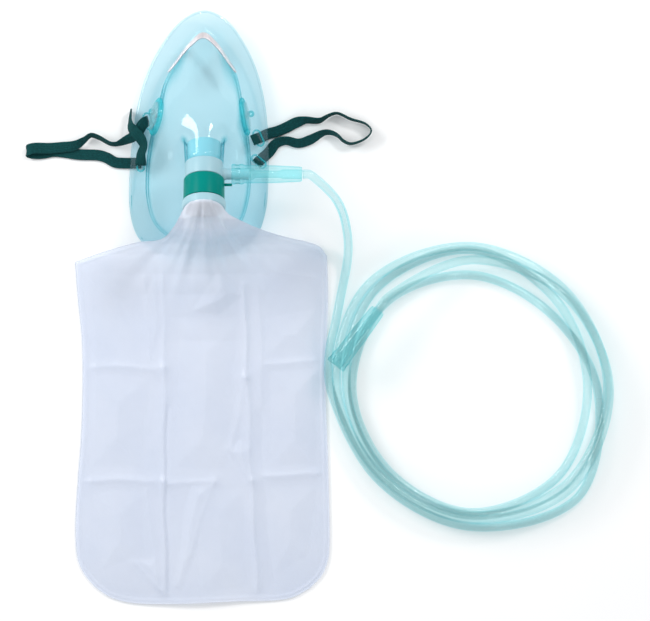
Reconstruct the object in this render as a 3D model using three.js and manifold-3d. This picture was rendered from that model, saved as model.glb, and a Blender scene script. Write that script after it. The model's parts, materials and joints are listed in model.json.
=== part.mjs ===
// Non-rebreathing oxygen mask with a reservoir bag, lying open side down on a table.
// Millimetres. +X right, +Y towards the nose end of the mask, +Z up. The origin is on the table,
// under the middle of the object's box without its oxygen tubing.
import * as THREE from 'three';
import { mergeVertices } from 'three/addons/utils/BufferGeometryUtils.js';
import Module from 'manifold-3d';

const wasm = await Module();
wasm.setup();

// ---- Driving dimensions ----
const GAP = 0.3; // left between pieces that touch
const OBJECT_HALF_WIDTH = 104; // to the outer faces of the strap's two folds
const OBJECT_HALF_LENGTH = 178; // nose tip at +Y, foot of the bag at -Y

const MASK_X = 3.8; // the port, tee and valve share this middle plane
const MASK_SKEW = 0.035; // how far the soft flange lies aside, towards the chin, per millimetre
const MASK_WALL = 1.5;
const PORT_BASE = new THREE.Vector3(0, 99.3, 42); // where the port's axis leaves the dome
const PORT_RISE = 25; // degrees between the port's axis and the table
const PORT_LENGTH = 14.6;
const PORT_FOOT = -1.7; // where the tube starts on the dome, along its axis
const PORT_BASE_RADIUS = 12.3;
const PORT_MOUTH_RADIUS = 11.5;
const PORT_BORE_RADIUS = 10.3;

const TEE_RADIUS = 11.4;
const TEE_BORE_RADIUS = 8.8;
const SPIGOT_RADIUS = PORT_BORE_RADIUS - GAP;
const TEE_END = 25; // distances along the port's axis from its base
const VALVE_RADIUS = 12.2;
const VALVE_BORE_RADIUS = 10.4;
const VALVE_END = 39.2;
const NECK_RING_RADIUS = 13;
const NECK_RING_BORE_RADIUS = 10.8;
const NECK_RING_END = 45.2;
const NIPPLE_AT = 21.9;
const NIPPLE_RADIUS = 3.3;
const NIPPLE_BORE_RADIUS = 2;
const NIPPLE_REACH = 27; // from the tee's axis

const DISC_THICKNESS = 0.8;
const CHECK_DISC_RADIUS = 8.6;
const CHECK_SEAT_AT = 31;
const VENT_SEAT_RADIUS = 9.5;
const VENT_HOLE_RADIUS = 7;
const VENT_DISC_RADIUS = 8.7;
const VENT_STATION = 4.05; // stations round the mask, see HALF_STATIONS
const VENT_HEIGHT = 0.3; // share of the way up the dome's wall
const STEM_RADIUS = 1;
const SLOT_HALF_LENGTH = 2.8;
const SLOT_RADIUS = 1.5;
const CLIP_HEIGHT = 0.05; // share of the way up the dome's wall
const CLIP_REACH = 2.6; // stations to each side of the nose
const CLIP_WIDTH = 4.2;
const CLIP_THICKNESS = 0.9;
const HUB_HOLE_RADIUS = 1.4;
const HUB_RADIUS = 2.6;

const TUBE_RADIUS = 2.6;
const CONNECTOR_LENGTH = 42;
const MASK_CONNECTOR_FROM = 16.4; // from the tee's axis
const COIL_CENTRE = new THREE.Vector3(163.2, -48.3, 0);
const COIL_OUTER_RADIUS = 86.2;
const COIL_INNER_RADIUS = 66;
const COIL_HEIGHT = 10.6;
const SUPPLY_TUBE_END = new THREE.Vector3(107.7, -1.5, 0);
const SUPPLY_HEADING = 232.4; // degrees, from the tube's end to the open mouth

const STRAP_WIDTH = 6.5;
const STRAP_THICKNESS = 1;

const BAG_X = 3.2;
const BAG_MID = 3; // height of the middle of the flat bag, and half its thickness

// ---- Small helpers ----
const radians = THREE.MathUtils.degToRad;
const vec = (x, y, z) => new THREE.Vector3(x, y, z);
const X_AXIS = vec(1, 0, 0);
const Z_AXIS = vec(0, 0, 1);

function material(color, roughness, opacity = 1) {
  return new THREE.MeshStandardMaterial({
    color, roughness, metalness: 0, opacity, transparent: opacity < 1,
  });
}

const MATERIALS = {
  clearTeal: () => material(0xa9dfe8, 0.25, 0.5),
  tealPlastic: () => material(0x009a90, 0.4),
  milkyPlastic: () => material(0xe4edf2, 0.4, 0.8),
  silicone: () => material(0xe9eef0, 0.6),
  aluminium: () => new THREE.MeshStandardMaterial({ color: 0xd9d6da, roughness: 0.35, metalness: 0.9 }),
  elastic: () => material(0x0f4b4b, 0.9),
  film: () => material(0xdde4f5, 0.45, 0.7),
};

function solidOf(geometry) {
  const bare = geometry.clone();
  bare.deleteAttribute('normal');
  bare.deleteAttribute('uv');
  const merged = mergeVertices(bare, 1e-4);
  return new wasm.Manifold(new wasm.Mesh({
    numProp: 3,
    vertProperties: merged.attributes.position.array,
    triVerts: new Uint32Array(merged.index.array),
  }));
}

function geometryOf(solid) {
  const mesh = solid.getMesh();
  const geometry = new THREE.BufferGeometry();
  geometry.setAttribute('position', new THREE.BufferAttribute(mesh.vertProperties, 3));
  geometry.setIndex(new THREE.BufferAttribute(mesh.triVerts, 1));
  return geometry;
}

// A solid of revolution about +Z from [radius, height] points, outside face upwards first.
function revolve(profile, segments = 32) {
  const points = profile.map(([r, h]) => new THREE.Vector2(r, h));
  const geometry = new THREE.LatheGeometry(points, segments);
  geometry.rotateX(Math.PI / 2);
  return geometry;
}

// A plain ring: outer face up, inner face down, closed on itself.
function ring(outer, inner, low, high, segments = 32) {
  return revolve([[inner, low], [outer, low], [outer, high], [inner, high], [inner, low]], segments);
}

function cylinder(radius, low, high, segments = 24) {
  return revolve([[0, low], [radius, low], [radius, high], [0, high]], segments);
}

// Joins rows of points into one closed skin. Each row is a closed loop of the same length,
// running counter-clockwise about the direction in which the rows follow each other.
// Closed skins join the last row to the first; open ones get a flat cap on each end row.
function skin(rows, closed) {
  const around = rows[0].length;
  const positions = rows.flat().flatMap((p) => [p.x, p.y, p.z]);
  const index = [];
  const last = closed ? rows.length : rows.length - 1;
  for (let i = 0; i < last; i += 1) {
    const next = (i + 1) % rows.length;
    for (let j = 0; j < around; j += 1) {
      const k = (j + 1) % around;
      const [a, b, c, d] = [i * around + j, i * around + k, next * around + k, next * around + j];
      index.push(a, b, c, a, c, d);
    }
  }
  if (!closed) {
    const end = (rows.length - 1) * around;
    for (let j = 1; j < around - 1; j += 1) {
      index.push(0, j + 1, j);
      index.push(end, end + j, end + j + 1);
    }
  }
  const geometry = new THREE.BufferGeometry();
  geometry.setAttribute('position', new THREE.Float32BufferAttribute(positions, 3));
  geometry.setIndex(index);
  return geometry;
}

function named(name, geometry, makeMaterial) {
  const mesh = new THREE.Mesh(geometry, makeMaterial());
  mesh.name = name;
  return mesh;
}

// ---- The mask ----
// Half outlines at eleven stations from the nose to the chin, [x, y, z] from the mask's plane.
const RIM_HALF = [
  [0, 178, 9], [13, 172.5, 8.6], [25.5, 156.5, 7.2], [33.6, 139, 5.6], [38.8, 118, 4],
  [41, 97, 2.5], [41.7, 75, 0.6], [40.6, 57, 0], [35.2, 42, 0.6], [22, 32.2, 2.2], [0, 29, 3.2],
];
const FOOT_HALF = [
  [0, 168.2, 9.6], [6.6, 162.4, 9.4], [14.6, 150, 8.6], [21, 138.5, 7.8], [24.8, 119, 7],
  [29, 100.5, 6], [31, 80, 5], [30.2, 63, 4.6], [25.5, 49.5, 4.8], [14.5, 40.8, 5.6], [0, 37.5, 6.2],
];
// The slots that the straps go through: [x, y, direction in degrees].
const SLOTS = [[-30.2, 111.7, 105], [-34.6, 86.6, 90], [36, 101.6, 114], [36.2, 87.6, 140]];
const HALF_STATIONS = RIM_HALF.length - 1;
const STATIONS = 2 * HALF_STATIONS;
const AROUND = 40;
const DOME_ROWS = 8;
const portTilt = radians(90 - PORT_RISE);
const portAxis = Z_AXIS.clone().applyAxisAngle(X_AXIS, portTilt);
const portUp = vec(0, 1, 0).applyAxisAngle(X_AXIS, portTilt);

function wholeLoop(half) {
  const aside = (y) => MASK_SKEW * (OBJECT_HALF_LENGTH - y);
  const right = half.map(([x, y, z]) => vec(x - aside(y), y, z));
  const left = half.slice(1, -1).reverse().map(([x, y, z]) => vec(-x - aside(y), y, z));
  return new THREE.CatmullRomCurve3([...right, ...left], true);
}

const rimLoop = wholeLoop(RIM_HALF);
const footLoop = wholeLoop(FOOT_HALF);
const loopPoint = (loop, station) => loop.getPoint((((station % STATIONS) + STATIONS) % STATIONS) / STATIONS);

// A point on the port's tube, `along` its axis from the base.
function portPoint(station, radius, along) {
  const turn = radians(90 - (180 * station) / HALF_STATIONS);
  return PORT_BASE.clone()
    .addScaledVector(X_AXIS, radius * Math.cos(turn))
    .addScaledVector(portUp, radius * Math.sin(turn))
    .addScaledVector(portAxis, along);
}

// The dome's section from its foot up to the port, as one cubic curve per station.
function domeCurve(station) {
  const turn = radians(90 - (180 * station) / HALF_STATIONS);
  const noseward = Math.max(Math.sin(turn), 0);
  const chinward = Math.max(-Math.sin(turn), 0);
  const sideways = Math.cos(turn);
  const foot = loopPoint(footLoop, station);
  const top = portPoint(station, PORT_BASE_RADIUS, PORT_FOOT);
  const slope = noseward ** 3;
  const wall = vec(0.16 * sideways - 0.07, 0.3 * chinward - 0.3 * noseward - 0.7 * slope, 0.95 - 0.35 * slope)
    .multiplyScalar(24 + 4 * noseward - 11 * chinward);
  const crest = vec(sideways, 0.95 * (noseward - chinward), -0.3 * noseward - 0.15 * chinward
    - 0.25 * Math.abs(sideways)).normalize()
    .multiplyScalar(9 + 16 * noseward + 13 * chinward);
  return new THREE.CubicBezierCurve3(foot, foot.clone().add(wall), top.clone().add(crest), top);
}

function maskRows() {
  const stations = Array.from({ length: AROUND }, (_, j) => (STATIONS * j) / AROUND);
  const lift = vec(0, 0, MASK_WALL);
  const rim = stations.map((v) => loopPoint(rimLoop, v).add(lift));
  const foot = stations.map((v) => loopPoint(footLoop, v));
  const middle = rim.map((p, j) => p.clone().lerp(foot[j], 0.55));
  const rows = [rim, middle];
  for (let i = 0; i <= DOME_ROWS; i += 1) {
    rows.push(stations.map((v) => domeCurve(v).getPoint(i / DOME_ROWS)));
  }
  rows.push(stations.map((v) => portPoint(v, PORT_MOUTH_RADIUS, PORT_LENGTH)));
  return rows;
}

// The same rows, one wall thickness further in.
function innerRows(rows) {
  const inner = rows.slice(0, -1).map((row, i) => row.map((p, j) => {
    const before = rows[Math.max(i - 1, 0)][j];
    const after = rows[i + 1][j];
    const along = after.clone().sub(before);
    const round = row[(j + 1) % AROUND].clone().sub(row[(j + AROUND - 1) % AROUND]);
    const outward = along.cross(round).normalize();
    return p.clone().addScaledVector(outward, -MASK_WALL);
  }));
  const stations = Array.from({ length: AROUND }, (_, j) => (STATIONS * j) / AROUND);
  inner.push(stations.map((v) => portPoint(v, PORT_BORE_RADIUS, 1.6)));
  inner.push(stations.map((v) => portPoint(v, PORT_BORE_RADIUS, PORT_LENGTH)));
  return inner;
}

// A round seat with a three-spoked hub, its face at height 0 looking along +Z.
function valveSeat(outer, hole, depth) {
  let seat = solidOf(ring(outer, hole, -depth, 0));
  seat = seat.add(solidOf(ring(HUB_RADIUS, HUB_HOLE_RADIUS, -1.4, 0, 16)));
  const spokeLength = hole + 0.6 - (HUB_RADIUS - 0.4);
  for (let k = 0; k < 3; k += 1) {
    const spoke = new THREE.BoxGeometry(spokeLength, 1.3, 1.2);
    spoke.translate(HUB_RADIUS - 0.4 + spokeLength / 2, 0, -0.7);
    spoke.rotateZ((k * 2 * Math.PI) / 3);
    seat = seat.add(solidOf(spoke));
  }
  return seat;
}

// A thin disc that rests on a seat, with a stem through the seat's hub.
function flapDisc(radius) {
  const top = GAP + DISC_THICKNESS;
  return revolve([
    [0, -3], [STEM_RADIUS, -3], [STEM_RADIUS, GAP], [radius, GAP], [radius, top], [0, top],
  ], 28);
}

// The place of an exhalation vent on the dome's wall: +Z of the matrix points out of the mask.
function ventMatrix(side) {
  const station = side * VENT_STATION;
  const centre = domeCurve(station).getPoint(VENT_HEIGHT);
  const up = domeCurve(station).getPoint(VENT_HEIGHT + 0.05).sub(centre).normalize();
  const round = domeCurve(station + 0.1).getPoint(VENT_HEIGHT).sub(centre).normalize();
  const out = round.clone().cross(up).multiplyScalar(-1).normalize();
  const across = up.clone().cross(out).normalize();
  return new THREE.Matrix4().makeBasis(across, up, out)
    .setPosition(centre.addScaledVector(out, 1.4));
}

// A slot in the flange that an end of a strap goes through.
function slotCutter([x, y, direction]) {
  const shape = new THREE.Shape();
  shape.absarc(0, SLOT_HALF_LENGTH, SLOT_RADIUS, 0, Math.PI, false);
  shape.absarc(0, -SLOT_HALF_LENGTH, SLOT_RADIUS, Math.PI, 2 * Math.PI, false);
  const geometry = new THREE.ExtrudeGeometry(shape, { depth: 11, bevelEnabled: false, curveSegments: 6 });
  geometry.rotateZ(radians(direction - 90));
  geometry.translate(x - MASK_X, y, -2);
  return geometry;
}

function maskShell() {
  const rows = maskRows();
  const inner = innerRows(rows);
  let shell = solidOf(skin([...rows.reverse(), ...inner], true));
  for (const side of [-1, 1]) {
    const place = ventMatrix(side);
    const hole = cylinder(VENT_HOLE_RADIUS + 1, -6, 4).applyMatrix4(place);
    const seat = geometryOf(valveSeat(VENT_SEAT_RADIUS, VENT_HOLE_RADIUS, 3.6)).applyMatrix4(place);
    shell = shell.subtract(solidOf(hole)).add(solidOf(seat));
  }
  for (const slot of SLOTS) shell = shell.subtract(solidOf(slotCutter(slot)));
  return geometryOf(shell);
}

function ventDisc(side) {
  return flapDisc(VENT_DISC_RADIUS).applyMatrix4(ventMatrix(side));
}

// The aluminium strip that is bent over the nose, following the dome a little above its foot.
function noseClip() {
  const rows = [];
  const steps = 24;
  for (let i = 0; i <= steps; i += 1) {
    const station = CLIP_REACH * ((2 * i) / steps - 1);
    const low = domeCurve(station).getPoint(CLIP_HEIGHT);
    const high = domeCurve(station).getPoint(CLIP_HEIGHT + 0.07);
    const beside = domeCurve(station + 0.1).getPoint(CLIP_HEIGHT);
    const up = high.clone().sub(low).normalize();
    const out = beside.clone().sub(low).cross(up).multiplyScalar(-1).normalize();
    const inner = low.clone().addScaledVector(out, 2 * GAP);
    const outer = inner.clone().addScaledVector(out, CLIP_THICKNESS);
    rows.push([
      inner,
      outer,
      outer.clone().addScaledVector(up, CLIP_WIDTH),
      inner.clone().addScaledVector(up, CLIP_WIDTH),
    ]);
  }
  return skin(rows, false);
}

// ---- The straps: a flat elastic band at each side, looped out on the table ----
// [x, y, z, direction, rise]: the band's width points along direction, in degrees from +X,
// and rises from it, 0 where the band lies flat and 90 where it stands on its edge.
const FLAT = STRAP_THICKNESS / 2 + 0.2;
const FOLD_X = OBJECT_HALF_WIDTH - STRAP_THICKNESS / 2;
const LEFT_LOOP = [
  [-30, 111.9, 4.9, 105, 0], [-30.7, 111.7, 5.8, 105, 0], [-32, 111.1, 6.8, 105, 0],
  [-33.6, 109.6, 7, 110, 0], [-35.7, 106, 6.9, 120, 8], [-39.1, 102.4, 7.1, 110, 20],
  [-42.8, 100.5, 5.7, 100, 40], [-48.3, 98.2, 3.5, 90, 65], [-52.6, 98.2, 3.5, 90, 70],
  [-59.9, 102, 3.4, 90, 65], [-64.5, 103.3, 3.4, 90, 65], [-68.5, 100.5, 3.5, 90, 50],
  [-74, 97.2, 3.4, 90, 25], [-81.9, 96.1, 2.7, 90, 8], [-89.9, 95.5, 3.3, 90, 0],
  [-97.9, 95.6, 4.6, 90, 0], [-101.6, 94.8, 4.5, 90, 0], [-102.9, 93.8, 3.1, 90, 0],
  [-101.6, 92.9, 1.7, 90, 0], [-98, 92.3, 0.9, 90, 0], [-93, 92.5, FLAT, 90, 0],
  [-87, 93.6, FLAT, 90, 0], [-80, 93, FLAT, 90, 0], [-72.1, 91.8, FLAT, 90, 0],
  [-59.9, 91.3, FLAT, 90, 0], [-55, 89.8, FLAT, 90, 0], [-50.1, 87.1, FLAT, 90, 0],
  [-45.2, 86.6, FLAT, 90, 0], [-38.6, 86.6, FLAT, 90, 0], [-36.2, 86.6, 1.3, 90, 0],
  [-35, 86.6, 2.7, 90, 0], [-34.6, 86.6, 4.4, 90, 0], [-34.5, 86.6, 6.3, 90, 0],
];
const LEFT_TAIL = [
  [-34.6, 85.2, 6, 0, 0], [-34.5, 88.2, 6.9, 0, 20], [-34.2, 92.5, 8, 0, 40], [-32.9, 96.5, 8.9, 10, 45],
  [-34.5, 101.1, 9.3, 20, 15], [-37.9, 105.1, 8.7, 30, 10], [-40.6, 108.5, 6.7, 20, 50],
  [-41, 112.1, 5, 10, 75], [-40.4, 118.6, 3.6, 0, 88],
];
const RIGHT_LOOP = [
  [32.4, 100.1, 8.4, 114, 0], [34, 100.8, 6.9, 114, 0], [35.4, 101.4, 5.8, 114, 0],
  [36, 101.6, 4.2, 114, 0], [36.8, 101.9, 2.4, 114, 0], [38.8, 102.8, 0.9, 110, 0],
  [42.4, 104.4, FLAT, 105, 0], [47, 105.6, FLAT, 95, 0], [52.9, 108.1, FLAT, 95, 3],
  [58.7, 111, 1.6, 90, 15], [63.9, 112.4, 3, 90, 48], [72.4, 112.1, 3.3, 90, 58],
  [78.2, 115.2, 3.5, 90, 75], [83.1, 116.5, 3.6, 90, 80], [91.3, 113, 3.6, 90, 80],
  [100.5, 110, 3.6, 90, 85], [FOLD_X + 0.2, 106, 3.6, 90, 90], [100.5, 101.6, 3.6, 90, 85],
  [91.3, 98.2, 3.6, 90, 80], [86.9, 99.9, 3.5, 90, 75], [83.5, 103.1, 3.5, 90, 70],
  [78.9, 105, 3.3, 90, 62], [75, 104.8, 3.2, 90, 55], [66.5, 100.4, 2.1, 90, 25],
  [60, 98.5, 2.3, 90, 30], [52.2, 100.1, 2.7, 90, 38], [46.3, 98.2, 2, 105, 25],
  [42.7, 93.6, 0.8, 130, 3], [40, 91, FLAT, 140, 0], [38, 89.4, 0.7, 140, 0],
  [36.9, 88.3, 1.4, 140, 0], [36.3, 87.7, 3.4, 140, 0], [35.8, 87.1, 5.4, 140, 0],
  [35.1, 86.3, 6.7, 140, 0],
];
const BAND_STEP = 2.2;

function band(route) {
  const spine = new THREE.CatmullRomCurve3(route.map(([x, y, z]) => vec(x, y, z)));
  const steps = Math.round(spine.getLength() / BAND_STEP);
  const rows = [];
  for (let i = 0; i <= steps; i += 1) {
    const share = spine.getUtoTmapping(i / steps);
    const place = share * (route.length - 1);
    const k = Math.min(Math.floor(place), route.length - 2);
    const [direction, rise] = [3, 4].map((c) => radians(
      route[k][c] + (route[k + 1][c] - route[k][c]) * (place - k),
    ));
    const forward = spine.getTangent(share);
    const across = vec(
      Math.cos(rise) * Math.cos(direction),
      Math.cos(rise) * Math.sin(direction),
      Math.sin(rise),
    );
    across.addScaledVector(forward, -across.dot(forward)).normalize();
    const thick = across.clone().cross(forward);
    const corner = (w, t) => spine.getPoint(share)
      .addScaledVector(across, (w * STRAP_WIDTH) / 2)
      .addScaledVector(thick, (t * STRAP_THICKNESS) / 2);
    rows.push([corner(-1, -1), corner(-1, 1), corner(1, 1), corner(1, -1)]);
  }
  return skin(rows, false);
}

function leftStrap() {
  return geometryOf(solidOf(band(LEFT_LOOP)).add(solidOf(band(LEFT_TAIL))));
}

// ---- The tee, valve and neck ring, in the port's own frame: +Z along the port's axis ----
function teeHousing() {
  const body = solidOf(revolve([
    [TEE_BORE_RADIUS, 2], [SPIGOT_RADIUS, 2], [SPIGOT_RADIUS, PORT_LENGTH + GAP],
    [TEE_RADIUS, PORT_LENGTH + GAP], [TEE_RADIUS, TEE_END], [TEE_BORE_RADIUS, TEE_END],
    [TEE_BORE_RADIUS, 2],
  ]));
  const sideways = (geometry) => geometry.rotateY(Math.PI / 2).translate(0, 0, NIPPLE_AT);
  const nipple = solidOf(sideways(cylinder(NIPPLE_RADIUS, TEE_BORE_RADIUS + 0.6, NIPPLE_REACH, 20)));
  const bore = solidOf(sideways(cylinder(NIPPLE_BORE_RADIUS, 2, NIPPLE_REACH + 1, 16)));
  return geometryOf(body.add(nipple).subtract(bore));
}

function valveBody() {
  const low = TEE_END + GAP;
  const tube = solidOf(ring(VALVE_RADIUS, VALVE_BORE_RADIUS, low, VALVE_END));
  const seat = geometryOf(valveSeat(VALVE_BORE_RADIUS + 0.8, CHECK_DISC_RADIUS - 1.4, 1.8));
  seat.rotateX(Math.PI).translate(0, 0, CHECK_SEAT_AT);
  const tab = new THREE.BoxGeometry(5.2, 1.6, 1.6);
  tab.translate(VALVE_RADIUS + 1.9, 0, low + 3.6);
  return geometryOf(tube.add(solidOf(seat)).add(solidOf(tab)));
}

function checkDisc() {
  return flapDisc(CHECK_DISC_RADIUS).rotateX(Math.PI).translate(0, 0, CHECK_SEAT_AT);
}

function neckRing() {
  return ring(NECK_RING_RADIUS, NECK_RING_BORE_RADIUS, VALVE_END + GAP, NECK_RING_END);
}

// ---- The reservoir bag: sections along its length ----
// [y, z of the middle, z of the edges, half width, half thickness, squareness, lean in degrees]
const BAG_SECTIONS = [
  [52.5, 60.6, 58, 13, 7.5, 0.9, 0], [46.5, 52.5, 44, 18, 5, 0.8, -40],
  [42.5, 43, 20, 40, 4, 0.5, -40], [38, 34.5, 13.5, 62, 3.4, 0.35, -35],
  [32, 26.5, 9.6, 72, 3, 0.25, -25], [20, 16, 6.2, 73, 3, 0.22, -15],
  [8, 9.6, 4.4, 73.2, 3, 0.2, -8], [-6, 5.2, 3.2, 73.2, 3, 0.2, 0],
  [-20, BAG_MID, BAG_MID, 73.2, BAG_MID, 0.2, 0], [-85, BAG_MID, BAG_MID, 72.8, BAG_MID, 0.2, 0],
  [-152, BAG_MID, BAG_MID, 72.8, BAG_MID, 0.2, 0], [-166, BAG_MID, BAG_MID, 66, BAG_MID, 0.2, 0],
  [-174, BAG_MID, BAG_MID, 57, 2.2, 0.25, 0], [-OBJECT_HALF_LENGTH, BAG_MID, BAG_MID, 44, 1, 0.3, 0],
];
const BAG_TENT = 27; // how far to each side the neck holds the film up
const BAG_AROUND = 28;

// A point of a rounded section: 1 is an ellipse, lower powers square it off.
function roundedSection(turn, power) {
  const shape = (value) => Math.sign(value) * Math.abs(value) ** power;
  return [shape(Math.cos(turn)), shape(Math.sin(turn))];
}

function reservoirBag() {
  const turns = Array.from({ length: BAG_AROUND }, (_, j) => (2 * Math.PI * j) / BAG_AROUND);
  const mouthCentre = PORT_BASE.clone().addScaledVector(portAxis, NECK_RING_END + GAP);
  const mouth = turns.map((turn) => mouthCentre.clone()
    .add(vec(MASK_X, 0, 0))
    .addScaledVector(X_AXIS, 10.5 * Math.cos(turn))
    .addScaledVector(portUp, 10.5 * Math.sin(turn)));
  const rows = BAG_SECTIONS.map(([y, middle, edge, half, thick, power, lean]) => turns.map((turn) => {
    const [u, w] = roundedSection(turn, power);
    const across = half * Math.sign(u) * Math.abs(u) ** (1 / (1 + power));
    const tent = Math.exp(-((across / BAG_TENT) ** 2));
    const offset = thick * THREE.MathUtils.clamp(1.05 * w, -1, 1);
    const leaning = radians(lean) * tent;
    return vec(
      BAG_X + across,
      y + offset * Math.sin(leaning) * -1,
      edge + (middle - edge) * tent + offset * Math.cos(leaning),
    );
  }));
  return skin([mouth, ...rows], false);
}

// ---- The oxygen tubing and its two connectors ----
// A push-on connector along +Z: ribbed mouth first, then a tapering sleeve for the tube.
function connector() {
  return revolve([
    [3.6, 0], [5.9, 0], [6.2, 1], [6.2, 6.4], [5.4, 7.4], [5.4, 26], [4.5, CONNECTOR_LENGTH - 1.2],
    [4.1, CONNECTOR_LENGTH], [2, CONNECTOR_LENGTH], [2, 14], [3.6, 12], [3.6, 0],
  ], 20);
}

const NIPPLE_HEIGHT = PORT_BASE.z + portAxis.z * NIPPLE_AT;
const NIPPLE_Y = PORT_BASE.y + portAxis.y * NIPPLE_AT;
const LEAD_START_X = MASK_X + MASK_CONNECTOR_FROM + CONNECTOR_LENGTH + GAP;
const LEAD_ROUTE = [
  [LEAD_START_X, NIPPLE_Y, NIPPLE_HEIGHT], [LEAD_START_X + 4, NIPPLE_Y, NIPPLE_HEIGHT],
  [71.2, 76, 50], [76.2, 71.6, 46.6], [81.8, 65.6, 40], [86, 58, 31], [88.4, 49.4, 21],
  [89.7, 40.4, 12.5], [89.7, 31.5, 6.4], [88.5, 22.5, 3.6], [86.7, 13.5, 2.7], [84.9, 4.5, TUBE_RADIUS],
  [83.1, -4.5, TUBE_RADIUS], [81.3, -13.5, TUBE_RADIUS],
];

function leadTube() {
  const route = new THREE.CatmullRomCurve3(LEAD_ROUTE.map(([x, y, z]) => vec(x, y, z)));
  const section = new THREE.Shape();
  section.absarc(0, 0, TUBE_RADIUS, 0, 2 * Math.PI, false);
  return new THREE.ExtrudeGeometry(section, {
    extrudePath: route, steps: 30, curveSegments: 4, bevelEnabled: false,
  });
}

function coil() {
  const edge = 2.4;
  return revolve([
    [COIL_INNER_RADIUS + edge, 0], [COIL_OUTER_RADIUS - edge, 0], [COIL_OUTER_RADIUS, edge],
    [COIL_OUTER_RADIUS, COIL_HEIGHT - edge], [COIL_OUTER_RADIUS - edge, COIL_HEIGHT],
    [COIL_INNER_RADIUS + edge, COIL_HEIGHT], [COIL_INNER_RADIUS, COIL_HEIGHT - edge],
    [COIL_INNER_RADIUS, edge], [COIL_INNER_RADIUS + edge, 0],
  ], 48).translate(COIL_CENTRE.x, COIL_CENTRE.y, COIL_CENTRE.z);
}

function supplyConnector() {
  const heading = radians(SUPPLY_HEADING);
  const height = COIL_HEIGHT + GAP + 6.2;
  const mouth = SUPPLY_TUBE_END.clone()
    .add(vec(Math.cos(heading), Math.sin(heading), 0).multiplyScalar(CONNECTOR_LENGTH));
  const mesh = named('supply_connector', connector(), MATERIALS.clearTeal);
  mesh.rotation.set(0, Math.PI / 2, heading + Math.PI, 'ZYX');
  mesh.position.set(mouth.x, mouth.y, height);
  return mesh;
}

// ---- Assembly ----
const part = new THREE.Group();

const mask = new THREE.Group();
mask.position.x = MASK_X;
mask.add(named('mask_shell', maskShell(), MATERIALS.clearTeal));
mask.add(named('nose_clip', noseClip(), MATERIALS.aluminium));
mask.add(named('exhalation_disc_left', ventDisc(-1), MATERIALS.silicone));
mask.add(named('exhalation_disc_right', ventDisc(1), MATERIALS.silicone));
part.add(mask);
part.add(named('strap_left', leftStrap(), MATERIALS.elastic));
part.add(named('strap_right', band(RIGHT_LOOP), MATERIALS.elastic));

const tee = new THREE.Group();
tee.position.copy(PORT_BASE).add(vec(MASK_X, 0, 0));
tee.rotation.x = portTilt;
tee.add(named('tee_housing', teeHousing(), MATERIALS.milkyPlastic));
tee.add(named('valve_body', valveBody(), MATERIALS.tealPlastic));
tee.add(named('check_valve_disc', checkDisc(), MATERIALS.silicone));
tee.add(named('bag_neck_ring', neckRing(), MATERIALS.milkyPlastic));
const maskConnector = named('mask_connector', connector(), MATERIALS.clearTeal);
maskConnector.rotation.y = Math.PI / 2;
maskConnector.position.set(MASK_CONNECTOR_FROM, 0, NIPPLE_AT);
tee.add(maskConnector);
part.add(tee);

part.add(named('reservoir_bag', reservoirBag(), MATERIALS.film));
part.add(named('tubing_lead', leadTube(), MATERIALS.clearTeal));
part.add(named('tubing_coil', coil(), MATERIALS.clearTeal));
part.add(supplyConnector());

export default part;
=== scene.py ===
import json
import math

import bpy
import numpy as np
from mathutils import Matrix, Vector


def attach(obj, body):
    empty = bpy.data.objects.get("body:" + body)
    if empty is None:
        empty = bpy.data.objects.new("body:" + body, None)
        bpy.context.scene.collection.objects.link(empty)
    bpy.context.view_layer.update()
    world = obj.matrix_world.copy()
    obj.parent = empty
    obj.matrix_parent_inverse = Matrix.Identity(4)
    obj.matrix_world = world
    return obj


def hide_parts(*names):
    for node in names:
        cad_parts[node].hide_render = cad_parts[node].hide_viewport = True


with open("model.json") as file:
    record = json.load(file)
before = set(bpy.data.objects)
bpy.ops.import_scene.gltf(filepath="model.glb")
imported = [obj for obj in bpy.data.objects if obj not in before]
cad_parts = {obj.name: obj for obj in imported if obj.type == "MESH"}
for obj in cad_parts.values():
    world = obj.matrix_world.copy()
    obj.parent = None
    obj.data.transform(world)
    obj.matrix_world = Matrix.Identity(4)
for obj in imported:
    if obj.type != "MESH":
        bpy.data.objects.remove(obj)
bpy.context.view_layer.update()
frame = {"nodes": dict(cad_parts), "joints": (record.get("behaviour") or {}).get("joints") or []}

MM = 0.001
X_AXIS = Vector((1, 0, 0))
Z_AXIS = Vector((0, 0, 1))

# ---- Places taken from the frame ----
SWIVEL = next(j for j in frame["joints"] if j["name"] == "mask_swivel")
PORT_BASE = Vector(SWIVEL["pos_m"])
PORT_AXIS = Vector(SWIVEL["axis"]).normalized()
MASK_X = PORT_BASE.x

# ---- Driving dimensions, millimetres ----
WALL = 1.3
MASK_SKEW = 0.035  # how far the soft flange lies aside, towards the chin
FLANGE_TOP = 178
PORT_LENGTH = 14.6
PORT_FOOT = -1.7
PORT_BASE_RADIUS = 12.3
PORT_MOUTH_RADIUS = 11.5
PORT_BORE_RADIUS = 10.3
JOINT_GAP = 0.3  # shadow line between neighbouring rings
SPIGOT_RADIUS = 10.1
TEE_BORE_RADIUS = 8.8
TEE_RADIUS = 11.4
TEE_END = 25.0
VALVE_BORE_RADIUS = 10.4
VALVE_RADIUS = 12.2
VALVE_END = 39.2
NECK_RING_BORE_RADIUS = 10.8
NECK_RING_RADIUS = 13.0
NECK_RING_END = 45.2
RING_SEGMENTS = 72
NIPPLE_AT = 21.9
CONNECTOR_LENGTH = 42.0
MASK_CONNECTOR_FROM = 16.4
TUBE_RADIUS = 2.6
LUMEN_RADIUS = 1.9

CAMERA_HEIGHT = 8.0
CAMERA_REACH = 50
SENSOR_WIDTH = 36
VIEW_WIDTH = 0.39
VIEW_CENTRE = (0.0759, -0.0018)

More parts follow.
